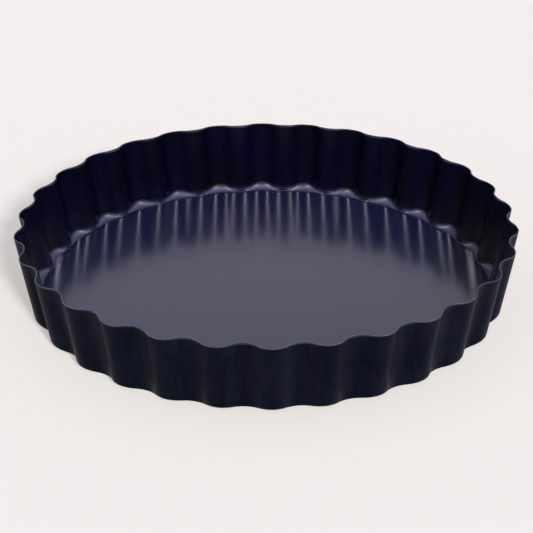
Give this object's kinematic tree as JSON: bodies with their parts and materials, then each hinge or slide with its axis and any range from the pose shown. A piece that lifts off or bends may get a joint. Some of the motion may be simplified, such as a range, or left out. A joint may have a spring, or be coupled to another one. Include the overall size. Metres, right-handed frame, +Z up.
{
  "type": "loose-bottom tart pan",
  "caption": "Round fluted tart pan: a flared, fluted steel ring with an inward ledge, and a flat loose base that rests on it and lifts out.",
  "frame": {"origin": "centre of the underside, on the plane that the pan stands on", "axes": "+Z up, along the pan's axis and the way the base lifts out; one outward flute points along -Y, the front"},
  "size_m": [0.2786, 0.28, 0.0422],
  "materials": {
    "ring_coating": "satin dark navy non-stick coating, finely speckled, a little worn along the rim",
    "base_coating": "satin dark navy non-stick coating"
  },
  "bodies": {
    "ring": {"fluted_ring": "ring_coating"},
    "base": {"loose_base": "base_coating"}
  },
  "joints": [
    {"name": "base_lift", "type": "slide", "parent": "ring", "child": "base", "axis": [0, 0, 1], "range_m": [0, 0.07]}
  ]
}
